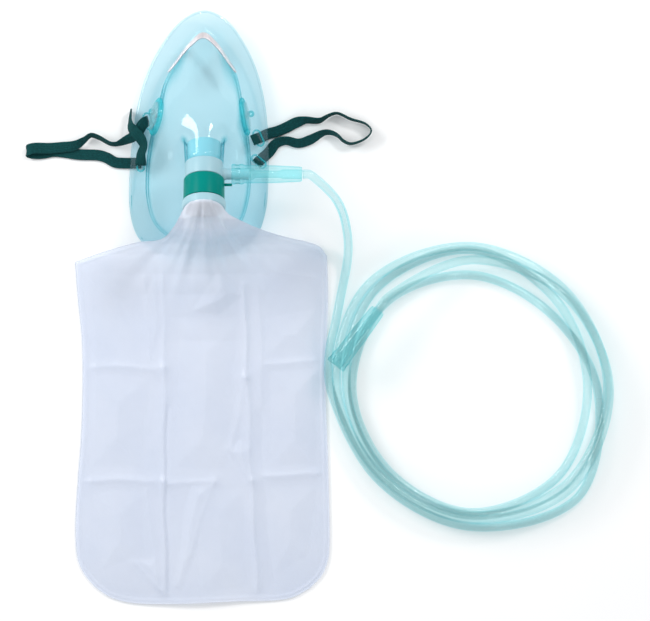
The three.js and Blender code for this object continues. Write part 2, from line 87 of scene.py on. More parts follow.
TABLE_HALF = 3.0
TABLE_Z = -0.0004
SKY_COLOUR = (0.985, 0.99, 1.0, 1)
SKY_STRENGTH = 0.65
LIGHT_TARGET = Vector((0.05, 0.0, 0.0))
LIGHTS = [  # name, place and size in metres, power in watts
    ("key", (-0.8, 0.5, 0.6), (0.7, 0.3), 7),
    ("top_left", (-0.1, 0.6, 1.3), (0.05, 0.05), 0.7),
    ("top_right", (0.12, 0.6, 1.3), (0.05, 0.05), 0.7),
    ("fill", (0.75, 0.85, 1.0), (0.35, 0.2), 6),
    ("front", (0.05, -1.15, 0.75), (0.6, 0.3), 1.2),
]


# ---- Small geometry helpers ----
def catmull_rom(points, samples, closed=False):
    """Centripetal Catmull-Rom through points; samples are positions 0..len-1 along them."""
    pts = np.asarray(points, float)
    count = len(pts)
    segments = count if closed else count - 1
    out = []
    for s in samples:
        k = min(int(math.floor(s)), segments - 1)
        t = s - k
        if closed:
            p0, p1, p2, p3 = (pts[(k + d) % count] for d in (-1, 0, 1, 2))
        else:
            p1, p2 = pts[k], pts[k + 1]
            p0 = pts[k - 1] if k > 0 else 2 * p1 - p2
            p3 = pts[k + 2] if k + 2 < count else 2 * p2 - p1
        d0, d1, d2 = (max(np.linalg.norm(b - a) ** 0.5, 1e-6) for a, b in ((p0, p1), (p1, p2), (p2, p3)))
        m1 = ((p1 - p0) / d0 - (p2 - p0) / (d0 + d1) + (p2 - p1) / d1) * d1
        m2 = ((p2 - p1) / d1 - (p3 - p1) / (d1 + d2) + (p3 - p2) / d2) * d1
        out.append(p1 + m1 * t + (3 * (p2 - p1) - 2 * m1 - m2) * t**2 + (2 * (p1 - p2) + m1 + m2) * t**3)
    return np.array(out)


def run_along(points):
    """Length of a polyline from its start to each of its points."""
    return np.concatenate([[0], np.cumsum(np.linalg.norm(np.diff(points, axis=0), axis=1))])


def resample(points, step):
    """The same open polyline with points a step apart."""
    pts = np.asarray(points, float)
    run = run_along(pts)
    places = np.linspace(0, run[-1], max(2, int(round(run[-1] / step)) + 1))
    return np.column_stack([np.interp(places, run, pts[:, a]) for a in range(3)])


def mesh_object(name, vertices, faces, material, smooth=True):
    mesh = bpy.data.meshes.new(name)
    mesh.from_pydata([tuple(v) for v in vertices], [], faces)
    mesh.validate()
    mesh.update()
    for polygon in mesh.polygons:
        polygon.use_smooth = smooth
    obj = bpy.data.objects.new(name, mesh)
    obj.data.materials.append(material)
    bpy.context.scene.collection.objects.link(obj)
    return obj


def grid_faces(rows, around, wrap_rows=False, wrap_around=True, first=0):
    """Four-sided faces of a grid of vertices, counted row by row from the first."""
    faces = []
    for i in range(rows if wrap_rows else rows - 1):
        for j in range(around if wrap_around else around - 1):
            k = (j + 1) % around
            n = (i + 1) % rows
            corners = (i * around + j, i * around + k, n * around + k, n * around + j)
            faces.append(tuple(first + corner for corner in corners))
    return faces


def revolve(profile, segments, matrix, closed=True):
    """Vertices and faces of a solid of revolution about the matrix's Z axis, profile in mm."""
    vertices = []
    for radius, height in profile:
        for j in range(segments):
            turn = 2 * math.pi * j / segments
            local = Vector((radius * math.cos(turn), radius * math.sin(turn), height)) * MM
            vertices.append(matrix @ local)
    return vertices, grid_faces(len(profile), segments, wrap_rows=closed)


def rounded(profile, radius, steps=4):
    """A closed profile with every corner rounded to the radius, where its sides allow."""
    points = [np.array(p, float) for p in profile]
    out = []
    for i, point in enumerate(points):
        before, after = points[i - 1], points[(i + 1) % len(points)]
        a, b = before - point, after - point
        la, lb = np.linalg.norm(a), np.linalg.norm(b)
        cut = min(radius, 0.45 * la, 0.45 * lb)
        start, end = point + a / la * cut, point + b / lb * cut
        for s in range(steps + 1):
            t = s / steps
            out.append(tuple((1 - t) ** 2 * start + 2 * t * (1 - t) * point + t**2 * end))
    return out


def joined(parts):
    """Several (vertices, faces) lists as one."""
    vertices, faces = [], []
    for v, f in parts:
        base = len(vertices)
        vertices.extend(v)
        faces.extend(tuple(base + i for i in face) for face in f)
    return vertices, faces


def frame_matrix(origin, z_axis, x_axis):
    """A matrix with its Z along z_axis and its X as near x_axis as that allows."""
    z = z_axis.normalized()
    x = (x_axis - z * x_axis.dot(z)).normalized()
    y = z.cross(x)
    matrix = Matrix((x, y, z)).transposed().to_4x4()
    matrix.translation = origin
    return matrix


# ---- Materials ----
def feed(node, inputs):
    """Give each named input a plain value or another node's socket."""
    for name, value in inputs.items():
        if isinstance(value, bpy.types.NodeSocket):
            node.id_data.links.new(value, node.inputs[name])
        else:
            node.inputs[name].default_value = value


def add_node(tree, kind, inputs):
    node = tree.nodes.new("ShaderNode" + kind)
    feed(node, inputs)
    return node


def new_material(name):
    material = bpy.data.materials.new(name)
    material.use_nodes = True
    return material, material.node_tree, material.node_tree.nodes["Principled BSDF"]


def object_place(tree):
    return tree.nodes.new("ShaderNodeTexCoord").outputs["Object"]


def object_noise(tree, scale, detail, stretch=(1, 1, 1)):
    """Strength of a noise that is fixed to the object."""
    place = add_node(tree, "Mapping", {"Scale": stretch, "Vector": object_place(tree)})
    noise = {"Scale": scale, "Detail": detail, "Vector": place.outputs["Vector"]}
    return add_node(tree, "TexNoise", noise).outputs["Fac"]


def bumped(tree, height, strength, distance):
    bump = {"Strength": strength, "Distance": distance, "Height": height}
    return add_node(tree, "Bump", bump).outputs["Normal"]


def ranged(tree, value, low, high, from_low=0.3, from_high=0.7):
    """The value carried from one range to another, held at the ends."""
    span = {"Value": value, "From Min": from_low, "From Max": from_high, "To Min": low, "To Max": high}
    return add_node(tree, "MapRange", span).outputs["Result"]


def coloured(tree, value, low, high, from_low=0.3, from_high=0.7):
    """A colour between low and high, by the value."""
    ramp = add_node(tree, "ValToRGB", {"Fac": value})
    ends = ((from_low, low), (from_high, high))
    for element, (position, colour) in zip(ramp.color_ramp.elements, ends):
        element.position = position
        element.color = (*colour, 1)
    return ramp.outputs["Color"]


def edge_on(tree, blend):
    """How far a surface is seen edge on: 0 face on and 1 edge on."""
    return add_node(tree, "LayerWeight", {"Blend": blend}).outputs["Facing"]


def worked_out(tree, operation, *numbers):
    node = add_node(tree, "Math", dict(enumerate(numbers)))
    node.operation = operation
    return node.outputs[0]


def mix_shaders(tree, share, first, second):
    return add_node(tree, "MixShader", {0: share, 1: first, 2: second}).outputs["Shader"]


def show(tree, surface):
    feed(tree.nodes["Material Output"], {"Surface": surface})


HAZE_LIFT = 1.03  # how much paler the haze gets from place to place
EDGE_POWER = 5.0  # how suddenly the gloss grows towards the edge
FACE_GLOSS = 0.035
EDGE_GLOSS = 0.4


def clear_plastic(name, face_tint, edge_tint, haze, haze_share, roughness):
    """Clear plastic: a tint that deepens where the wall is seen edge on, a little haze, and gloss."""
    material, tree, body = new_material(name)
    cloud = object_noise(tree, 55, 3)
    grain = object_noise(tree, 700, 2)
    lighter = tuple(min(1.0, HAZE_LIFT * c) for c in haze)
    feed(body, {
        "Base Color": coloured(tree, cloud, haze, lighter),
        "Roughness": 0.5,
        "Specular IOR Level": 0.0,
    })
    shine = add_node(tree, "BsdfGlossy", {
        "Roughness": ranged(tree, grain, roughness * 0.7, roughness * 1.4),
        "Normal": bumped(tree, cloud, 0.25, 0.0008),
    })
    tint = coloured(tree, edge_on(tree, 0.4), face_tint, edge_tint, 0.35, 0.95)
    clear = add_node(tree, "BsdfTransparent", {"Color": tint})
    steep = worked_out(tree, "POWER", edge_on(tree, 0.5), EDGE_POWER)
    gloss = ranged(tree, steep, FACE_GLOSS, EDGE_GLOSS, 0.0, 1.0)
    glassy = mix_shaders(tree, gloss, clear.outputs["BSDF"], shine.outputs["BSDF"])
    show(tree, mix_shaders(tree, haze_share, glassy, body.outputs["BSDF"]))
    return material


def moulded_plastic(name, low, high, roughness, gloss):
    """Opaque plastic with a faint cloud in its colour and a fine moulded grain."""
    material, tree, shader = new_material(name)
    grain = object_noise(tree, 1500, 3)
    feed(shader, {
        "Base Color": coloured(tree, object_noise(tree, 60, 3), low, high),
        "Roughness": ranged(tree, grain, roughness * 0.85, roughness * 1.2),
        "Specular IOR Level": gloss,
        "Normal": bumped(tree, grain, 0.08, 0.0002),
    })
    return material


def rolled_aluminium():
    """Bright strip with fine streaks from rolling."""
    material, tree, shader = new_material("aluminium")
    streak = object_noise(tree, 700, 3, (1, 0.15, 0.15))
    feed(shader, {
        "Base Color": coloured(tree, streak, (0.74, 0.66, 0.68), (0.86, 0.82, 0.84)),
        "Roughness": ranged(tree, streak, 0.28, 0.45),
        "Metallic": 0.9,
        "Normal": bumped(tree, streak, 0.15, 0.0002),
    })
    return material


def knitted_elastic():
    """Dark green elastic: colour and pile vary with the weave and with a fine fuzz."""
    material, tree, shader = new_material("elastic")
    wave = {"Scale": 420, "Distortion": 1.2, "Detail": 2, "Vector": object_place(tree)}
    weave = add_node(tree, "TexWave", wave)
    weave.bands_direction = "X"
    fuzz = object_noise(tree, 1400, 4)
    pile = worked_out(tree, "MULTIPLY_ADD", weave.outputs["Fac"], 0.4, fuzz)
    feed(shader, {
        "Base Color": coloured(tree, pile, (0.002, 0.028, 0.03), (0.008, 0.075, 0.076), 0.35, 0.95),
        "Roughness": ranged(tree, fuzz, 0.75, 0.95),
        "Specular IOR Level": 0.1,
        "Sheen Weight": 0.08,
        "Sheen Roughness": 0.4,
        "Normal": bumped(tree, pile, 0.6, 0.0004),
    })
    return material


FILM_SHARE = 0.5  # how dense the film is where it lies open
FILM_CLOUD = 0.03  # how far that varies from place to place
GATHERED_SHARE = 0.2  # how much denser the film is where it is gathered into the neck
GATHERED_FROM, GATHERED_TO = 0.035, 0.058  # heights in metres between which it grows


def frosted_film():
    """Thin frosted film: pale lavender, partly see-through, finely grained."""
    material, tree, film = new_material("bag_film")
    cloud = object_noise(tree, 22, 3)
    grain = object_noise(tree, 2200, 2)
    feed(film, {
        "Base Color": coloured(tree, cloud, (0.79, 0.83, 0.94), (0.83, 0.865, 0.96)),
        "Roughness": ranged(tree, grain, 0.26, 0.4),
        "Specular IOR Level": 0.6,
        "Normal": bumped(tree, grain, 0.1, 0.0002),
    })
    clear = add_node(tree, "BsdfTransparent", {"Color": (0.93, 0.96, 0.99, 1)})
    height = add_node(tree, "SeparateXYZ", {"Vector": object_place(tree)}).outputs["Z"]
    gathered = ranged(tree, height, 0, GATHERED_SHARE, GATHERED_FROM, GATHERED_TO)
    open_film = ranged(tree, cloud, FILM_SHARE - FILM_CLOUD, FILM_SHARE + FILM_CLOUD)
    share = worked_out(tree, "ADD", open_film, gathered)
    show(tree, mix_shaders(tree, share, clear.outputs["BSDF"], film.outputs["BSDF"]))
    return material


def table_paint():
    """Matt white paint."""
    material, tree, shader = new_material("table")
    feed(shader, {
        "Base Color": coloured(tree, object_noise(tree, 8, 2), (0.93, 0.935, 0.94), (0.95, 0.95, 0.95)),
        "Roughness": 0.8,
        "Specular IOR Level": 0.2,
    })
    return material


# Clear plastics: tint face on, tint edge on, haze, share of haze, roughness.
MASK_VINYL = clear_plastic(
    "mask_vinyl", (0.842, 0.937, 0.964), (0.12, 0.69, 0.76), (0.55, 0.86, 0.93), 0.035, 0.05)
THICK_VINYL = clear_plastic(
    "thick_vinyl", (0.76, 0.97, 0.98), (0.3, 0.88, 0.91), (0.02, 0.62, 0.69), 0.25, 0.06)
TUBE_VINYL = clear_plastic(
    "tube_vinyl", (0.965, 0.997, 1.0), (0.43, 0.92, 0.97), (0.55, 0.96, 1.0), 0.1, 0.08)
CONNECTOR_VINYL = clear_plastic(
    "connector_vinyl", (0.84, 0.975, 0.983), (0.36, 0.92, 0.95), (0.38, 0.93, 0.98), 0.1, 0.07)
SILICONE = clear_plastic(
    "silicone", (0.97, 0.99, 0.992), (0.8, 0.93, 0.95), (0.8, 0.93, 0.96), 0.05, 0.2)
# Opaque plastics: darker and lighter colour, roughness, gloss.
MILKY = moulded_plastic("milky_plastic", (0.3, 0.5, 0.57), (0.33, 0.53, 0.6), 0.32, 0.3)
SPIGOT = moulded_plastic("spigot_plastic", (0.4, 0.74, 0.79), (0.44, 0.77, 0.82), 0.32, 0.2)
TEAL = moulded_plastic("teal_plastic", (0.0, 0.19, 0.163), (0.0, 0.215, 0.185), 0.3, 0.06)
ALUMINIUM = rolled_aluminium()
ELASTIC = knitted_elastic()
FILM = frosted_film()


# ---- Camera: straight above the set, with a long lens ----
def make_camera():
    data = bpy.data.cameras.new("camera")
    data.sensor_width = SENSOR_WIDTH
    data.lens = SENSOR_WIDTH * CAMERA_HEIGHT / VIEW_WIDTH
    data.clip_end = CAMERA_REACH
    camera = bpy.data.objects.new("camera", data)
    camera.location = (*VIEW_CENTRE, CAMERA_HEIGHT)
    bpy.context.scene.collection.objects.link(camera)
    bpy.context.scene.camera = camera


# ---- Oxygen tubing: the lead from the mask, then four turns up to the supply connector ----
NIPPLE_POINT = PORT_BASE + PORT_AXIS * (NIPPLE_AT * MM)
LEAD_START = NIPPLE_POINT.copy()
LEAD_START.x = MASK_X + (MASK_CONNECTOR_FROM + CONNECTOR_LENGTH + JOINT_GAP) * MM
LEAD_STRAIGHT = 4  # millimetres straight out of the connector
LEAD_POINTS = [  # millimetres, down from the connector and along the table to the coil
    (71.2, 76, 50), (76.2, 71.6, 46.6), (81.8, 65.6, 40), (86, 58, 31), (88.4, 49.4, 21),
    (89.7, 40.4, 12.5), (89.7, 31.5, 6.4), (88.5, 22.5, 3.6), (86.7, 13.5, 2.7),
    (84.9, 4.5, TUBE_RADIUS),
    (83.1, -4.5, TUBE_RADIUS), (81.3, -13.5, TUBE_RADIUS),
]
COIL_CENTRE = (162.9, -48.3)
COIL_FROM = 165  # degrees, where the lead joins the coil
COIL_RADII = [  # millimetres at every 45 degrees from 180, one row for each turn
    [83.7, 77.7, 83.1, 92.0, 76.2, 65.6, 67.8, 72.0],
    [70.8, 69.8, 74.7, 74.7, 70.4, 73.7, 83.1, 81.9],
    [74.1, 72.3, 76.2, 81.6, 82.4, 81.6, 84.9, 87.0],
    [79.8, 75.0, 78.6, 84.9, 83.4, 79.6, 76.8, 73.5],
]
COIL_START_RADIUS = 87.3
SUPPLY_TUBE_END = (107.7, -1.5)
SUPPLY_HEADING = math.radians(232.4)
SUPPLY_HEIGHT = 17.1
END_STRAIGHT = 9  # millimetres straight into the supply connector
CLIMB_POINTS = 10  # points over which the tube's end rises to that connector
POINTS_PER_TURN = 72
TUBE_SIDES = 14
LEAD_STEP = 4.0
TUBE_STEP = 2.0


def coil_plan():
    """The coil's centreline seen from above, in millimetres."""
    controls = [(COIL_FROM, COIL_START_RADIUS)]
    for turn, radii in enumerate(COIL_RADII):
        for k, radius in enumerate(radii):
            controls.append((180 + 45 * k + 360 * turn, radius))
    plan = []
    for angle, radius in controls:
        a = math.radians(angle)
        plan.append((COIL_CENTRE[0] + radius * math.cos(a), COIL_CENTRE[1] + radius * math.sin(a), 0))
    return plan


def smoothed(values, spread):
    """Values averaged over a bell-shaped window."""
    window = np.hanning(spread + 3)[1:-1]
    return np.convolve(np.pad(values, len(window) // 2, mode="edge"), window / window.sum(), mode="valid")


def laid_heights(plan):
    """Heights that lay each stretch on the ones before it, as long low humps."""
    reach = 2 * TUBE_RADIUS
    heights = np.full(len(plan), TUBE_RADIUS)
    skip = POINTS_PER_TURN // 3
    spread = POINTS_PER_TURN // 9
    chunk = POINTS_PER_TURN // 4
    for start in range(0, len(plan), chunk):
        stop = min(start + chunk, len(plan))
        low = max(0, start - spread)
        high = min(len(plan), stop + spread)
        raw = np.full(high - low, TUBE_RADIUS)
        for i in range(low, high):
            earlier = np.arange(0, max(0, min(i - skip, start)))
            if not len(earlier):
                continue
            gap = np.hypot(*(plan[earlier, :2] - plan[i, :2]).T)
            near = gap < reach
            if near.any():
                over = heights[earlier][near] + np.sqrt(reach**2 - gap[near] ** 2)
                raw[i - low] = max(TUBE_RADIUS, over.max())
        half = spread // 2
        wide = np.array([raw[max(0, i - half): i + half + 1].max() for i in range(len(raw))])
        soft = smoothed(wide, spread)
        heights[start:stop] = np.maximum(heights[start:stop], soft[start - low: stop - low])
    return smoothed(heights, spread)


def tubing_path():
    """Points of the whole centreline in metres, a couple of millimetres apart."""
    x, y, z = (c / MM for c in LEAD_START)
    lead = [(x, y, z), (x + LEAD_STRAIGHT, y, z)] + LEAD_POINTS
    plan = coil_plan()
    ending = (SUPPLY_TUBE_END[0] + END_STRAIGHT * math.cos(SUPPLY_HEADING + math.pi),
              SUPPLY_TUBE_END[1] + END_STRAIGHT * math.sin(SUPPLY_HEADING + math.pi), 0)
    joining = [(x, y, TUBE_RADIUS) for x, y, _ in plan[:3]]
    lead = resample(catmull_rom(lead + joining, np.linspace(0, len(lead) - 1, 600)), LEAD_STEP)
    flat = [tuple(lead[-4]), tuple(lead[-1])] + plan[:-1] + [ending, (*SUPPLY_TUBE_END, 0)]
    flat = [(x, y, 0) for x, y, *_ in flat]
    per_turn = math.tau * COIL_RADII[0][0] / POINTS_PER_TURN
    dense = catmull_rom(flat, np.linspace(1, len(flat) - 1, 40 * len(flat)))
    even = resample(dense, per_turn)
    heights = laid_heights(even)
    for k in range(CLIMB_POINTS):
        share = 1 - k / CLIMB_POINTS
        i = len(even) - 1 - k
        heights[i] += (SUPPLY_HEIGHT - heights[i]) * (3 * share**2 - 2 * share**3)
    even[:, 2] = heights
    whole = np.concatenate([lead[:-1], even])
    fine = resample(catmull_rom(whole, np.linspace(0, len(whole) - 1, 6 * len(whole))), TUBE_STEP)
    return fine * MM


def tube_rings(path, radius, sides):
    """Rings of points round a path, kept from twisting by carrying the side direction along."""
    rings = []
    tangents = np.gradient(path, axis=0)
    tangents /= np.linalg.norm(tangents, axis=1)[:, None]
    side = np.cross(tangents[0], [0, 0, 1])
    for point, tangent in zip(path, tangents):
        side = side - tangent * side.dot(tangent)
        side /= np.linalg.norm(side)
        up = np.cross(side, tangent)
        for j in range(sides):
            turn = math.tau * j / sides
            rings.append(point + radius * (math.cos(turn) * side + math.sin(turn) * up))
    return rings


def make_tubing():
    """A hollow tube with closed walls at both ends, and its centreline."""
    path = tubing_path()
    sides = TUBE_SIDES
    outer = tube_rings(path, TUBE_RADIUS * MM, sides)
    inner = tube_rings(path, LUMEN_RADIUS * MM, sides)
    rows = len(path)
    faces = grid_faces(rows, sides)
    faces += [tuple(reversed(face)) for face in grid_faces(rows, sides, first=len(outer))]
    for row in (0, rows - 1):
        for j in range(sides):
            k = (j + 1) % sides
            a, b = row * sides + j, row * sides + k
            cap = (a, b, b + len(outer), a + len(outer))
            faces.append(cap if row else tuple(reversed(cap)))
    tubing = mesh_object("oxygen_tubing", outer + inner, faces, TUBE_VINYL)
    return tubing, path


# ---- Push-on connectors ----
CONNECTOR_PROFILE = [  # radius and height in millimetres: up the outside, then back down the bore
    (3.5, 0), (5.7, 0), (6.2, 0.8), (6.2, 2.0), (5.7, 2.6), (5.7, 4.4), (6.1, 5.0), (6.1, 6.6),
    (5.4, 7.6), (5.35, 16), (5.2, 26), (4.5, 40.4), (4.1, CONNECTOR_LENGTH), (2.75, CONNECTOR_LENGTH),
    (2.75, 30), (2.1, 29), (2.1, 14.5), (3.4, 12.5),
]
RIBS = 10
RIB_CENTRE = (5.75, 0, 3.6)
RIB_SIZE = (0.5, 0.45, 3.2)


def connector_parts(matrix):
    """A ribbed mouth and a tapering sleeve with a bore right through, mouth at height 0."""
    parts = [revolve(rounded(CONNECTOR_PROFILE, 0.35), 40, matrix)]
    for k in range(RIBS):
        rib = matrix @ Matrix.Rotation(math.tau * k / RIBS, 4, "Z")
        parts.append(box_part(rib, RIB_CENTRE, RIB_SIZE))
    return joined(parts)


def box_part(matrix, centre, size):
    """A small chamfered block, centre and size in millimetres."""
    half = [s / 2 for s in size]
    cut = 0.25 * min(size)
    vertices, faces = [], []
    layers = [(-half[2], cut), (-half[2] + cut, 0), (half[2] - cut, 0), (half[2], cut)]
    for z, inset in layers:
        for sx, sy in ((-1, -1), (1, -1), (1, 1), (-1, 1)):
            local = Vector(centre) + Vector((sx * (half[0] - inset), sy * (half[1] - inset), z))
            vertices.append(matrix @ (local * MM))
    faces += grid_faces(4, 4)
    faces.append((3, 2, 1, 0))
    faces.append((12, 13, 14, 15))
    return vertices, faces


def make_mask_connector():
    origin = NIPPLE_POINT + X_AXIS * (MASK_CONNECTOR_FROM * MM)
    matrix = frame_matrix(origin, X_AXIS, Z_AXIS)
    return mesh_object("mask_connector_sleeve", *connector_parts(matrix), CONNECTOR_VINYL)


def make_supply_connector():
    heading = Vector((math.cos(SUPPLY_HEADING), math.sin(SUPPLY_HEADING), 0))
    tube_end = Vector((*SUPPLY_TUBE_END, SUPPLY_HEIGHT)) * MM
    mouth = tube_end + heading * (CONNECTOR_LENGTH * MM)
    matrix = frame_matrix(mouth, -heading, Z_AXIS)
    return mesh_object("supply_connector_sleeve", *connector_parts(matrix), CONNECTOR_VINYL)


# ---- Mask shell ----
RIM_HALF = [  # nose to chin, millimetres from the mask's plane of symmetry
    (0, 178, 9), (13, 172.5, 8.6), (25.5, 156.5, 7.2), (33.6, 139, 5.6), (38.8, 118, 4),
    (41, 97, 2.5), (41.7, 75, 0.6), (40.6, 57, 0), (35.2, 42, 0.6), (22, 32.2, 2.2), (0, 29, 3.2),
]
FOOT_HALF = [
    (0, 168.2, 9.6), (6.6, 162.4, 9.4), (14.6, 150, 8.6), (21, 138.5, 7.8), (24.8, 119, 7),
    (29, 100.5, 6), (31, 80, 5), (30.2, 63, 4.6), (25.5, 49.5, 4.8), (14.5, 40.8, 5.6), (0, 37.5, 6.2),
]
HALF_STATIONS = len(RIM_HALF) - 1
STATIONS = 2 * HALF_STATIONS
FROM_MASK = np.array([MASK_X / MM, 0, 0])  # the mask is worked out about its own plane of symmetry
LOCAL_PORT = np.array(PORT_BASE) / MM - FROM_MASK
AXIS = np.array(PORT_AXIS)
UP = np.array(PORT_AXIS.cross(X_AXIS).normalized())
SIDE = np.array([1.0, 0, 0])


def whole_loop(half):
    """Both halves of a symmetrical outline, skewed as the soft mask lies."""
    right = [(x - MASK_SKEW * (FLANGE_TOP - y), y, z) for x, y, z in half]
    left = [(-x - MASK_SKEW * (FLANGE_TOP - y), y, z) for x, y, z in reversed(half[1:-1])]
    return right + left


def loop_point(loop, station):
    return catmull_rom(loop, [station % STATIONS], closed=True)[0]


def turn_of(station):
    """Angle round the port at a station, a quarter turn at the nose."""
    return math.radians(90 - 180 * station / HALF_STATIONS)


def port_point(station, radius, along):
    turn = turn_of(station)
    return LOCAL_PORT + radius * math.cos(turn) * SIDE + radius * math.sin(turn) * UP + along * AXIS


def dome_point(station, share):
    """A point on the dome's section at a station, share 0 at its foot and 1 at the port."""
    turn = turn_of(station)
    noseward, chinward = max(math.sin(turn), 0), max(-math.sin(turn), 0)
    sideways = math.cos(turn)
    foot = loop_point(FOOT_LOOP, station)
    top = port_point(station, PORT_BASE_RADIUS, PORT_FOOT)
    slope = noseward**3
    wall = np.array([0.16 * sideways - 0.07,
                     0.3 * chinward - 0.3 * noseward - 0.7 * slope,
                     0.95 - 0.35 * slope])
    wall *= 24 + 4 * noseward - 11 * chinward
    crest = np.array([sideways, 0.95 * (noseward - chinward),
                      -0.3 * noseward - 0.15 * chinward - 0.25 * abs(sideways)])
    crest *= (9 + 16 * noseward + 13 * chinward) / np.linalg.norm(crest)
    t = share
    lower = (1 - t) ** 3 * foot + 3 * t * (1 - t) ** 2 * (foot + wall)
    return lower + 3 * t**2 * (1 - t) * (top + crest) + t**3 * top


RIM_LOOP = whole_loop(RIM_HALF)
FOOT_LOOP = whole_loop(FOOT_HALF)
MASK_AROUND = 160
DOME_ROWS = 26
DOME_CROWDING = 1.25  # above 1, rows stand closer together near the dome's foot
FLANGE_LIFTS = [  # share of the way from the rim to the foot, and height there in millimetres
    (0.0, 0.35), (0.012, 0.85), (0.05, 1.15), (0.16, 1.25), (0.32, 1.1),
    (0.5, 0.85), (0.68, 0.6), (0.84, 0.35), (0.94, 0.12),
]
FLANGE_RIDGE = 0.6  # height of the low ridge that runs round the flange above the nose
RIDGE_SHARE = 0.5


def noseward_share(station):
    return max(math.sin(turn_of(station)), 0)


def flange_rows(stations):
    """The flange's upper face, from a rounded rim bead in to the dome's foot."""
    rim = [loop_point(RIM_LOOP, v) for v in stations]
    foot = [loop_point(FOOT_LOOP, v) for v in stations]
    rows = []
    for share, lift in FLANGE_LIFTS:
        ridge = FLANGE_RIDGE if share == RIDGE_SHARE else 0
        row = []
        for v, r, f in zip(stations, rim, foot):
            height = lift + share * 0.1 + ridge * noseward_share(v)
            row.append(r + (f - r) * share + np.array([0, 0, height]))
        rows.append(row)
    return rows


def make_mask():
    """The shell: its outside from rim to port, then the inside back again."""
    stations = [STATIONS * j / MASK_AROUND for j in range(MASK_AROUND)]
    outer = flange_rows(stations)
    for i in range(DOME_ROWS + 1):
        share = (i / DOME_ROWS) ** DOME_CROWDING
        outer.append([dome_point(v, share) for v in stations])
    for along in (0.8, 4, 8, 12, PORT_LENGTH - 0.5):
        radius = PORT_BASE_RADIUS + (PORT_MOUTH_RADIUS - PORT_BASE_RADIUS) * along / PORT_LENGTH
        outer.append([port_point(v, radius, along) for v in stations])
    outer.append([port_point(v, PORT_MOUTH_RADIUS - 0.4, PORT_LENGTH) for v in stations])
    skin = np.array(outer)
    along = np.gradient(skin, axis=0)
    around = np.roll(skin, -1, axis=1) - np.roll(skin, 1, axis=1)
    normal = np.cross(along, around)
    normal /= np.linalg.norm(normal, axis=2)[:, :, None]
    inner = [list(row) for row in (skin - WALL * normal)[:-7]]
    inner.append([port_point(v, PORT_BORE_RADIUS, 1.6) for v in stations])
    for place in (5, 10, PORT_LENGTH - 0.4):
        inner.append([port_point(v, PORT_BORE_RADIUS, place) for v in stations])
    inner.append([port_point(v, PORT_BORE_RADIUS + 0.4, PORT_LENGTH) for v in stations])
    rows = outer[::-1] + inner
    vertices = (np.array(rows).reshape(-1, 3) + FROM_MASK) * MM
    faces = grid_faces(len(rows), MASK_AROUND, wrap_rows=True)
    return mesh_object("mask_body", vertices, faces, MASK_VINYL)


# ---- What the shell carries: exhalation seats, pips and rims round the strap slots ----
VENT_STATION = 4.05
VENT_HEIGHT = 0.3
SEAT_PROFILE = [(9.1, -1.2), (10.6, -1.2), (11.5, -0.2), (11.5, 0.9), (10.6, 1.5), (9.1, 1.5)]
PIP_PROFILE = [(0.4, -0.6), (2.1, -0.6), (1.8, 0.7), (1.2, 1.1), (0.4, 0.7)]
SLOT_RADIUS = 2.1
SLOT_STRAIGHT = 2.8  # half the length of a slot's straight sides
SLOT_BEAD = 0.55
SLOT_STEPS = 32
BEAD_SIDES = 8
PIPS = [(-27.9, 117.3, 6.0), (31.5, 116.1, 6.0)]
SLOTS = [  # x, y, height of the flange, direction in degrees
    (-30.2, 111.7, 6.1, 105), (-34.6, 86.6, 4.5, 90), (36, 101.6, 5.3, 114), (36.2, 87.6, 4.5, 140),
]


def vent_frame(side):
    """The frame of an exhalation seat, with its Z out of the dome."""
    station = side * VENT_STATION
    centre = dome_point(station, VENT_HEIGHT)
    up = dome_point(station, VENT_HEIGHT + 0.05) - centre
    beside = dome_point(station + 0.1, VENT_HEIGHT) - centre
    out = Vector(np.cross(up, beside))
    origin = Vector(centre + FROM_MASK) * MM
    return frame_matrix(origin, out, Vector(up))


def slot_rim(x, y, z, direction):
    """A rounded bead round an oval slot."""
    lean = Matrix.Rotation(math.radians(direction - 90), 3, "Z")
    vertices = []
    for k in range(SLOT_STEPS):
        turn = math.tau * k / SLOT_STEPS
        outward = Vector((math.cos(turn), math.sin(turn), 0))
        straight = math.copysign(SLOT_STRAIGHT, math.sin(turn + 1e-6))
        middle = SLOT_RADIUS * outward + Vector((0, straight, 0))
        for j in range(BEAD_SIDES):
            around = math.tau * j / BEAD_SIDES
            local = middle + SLOT_BEAD * (math.cos(around) * outward + math.sin(around) * Z_AXIS)
            vertices.append((lean @ local + Vector((x, y, z))) * MM)
    return vertices, grid_faces(SLOT_STEPS, BEAD_SIDES, wrap_rows=True)


def make_mask_trim():
    parts = []
    seat = rounded(SEAT_PROFILE, 0.3)
    for side in (-1, 1):
        parts.append(revolve(seat, 64, vent_frame(side)))
    pip = rounded(PIP_PROFILE, 0.25)
    for place in PIPS:
        parts.append(revolve(pip, 24, Matrix.Translation(Vector(place) * MM)))
    for slot in SLOTS:
        parts.append(slot_rim(*slot))
    return mesh_object("mask_trim", *joined(parts), THICK_VINYL)


# ---- Nose clip ----
CLIP_STATIONS = 2.6  # how far the strip reaches each way from the nose
CLIP_STEPS = 72
CLIP_SHARE = 0.05
CLIP_HALF_WIDTH = 2.1
CLIP_THICKNESS = 0.9
CLIP_LIFT = 0.6


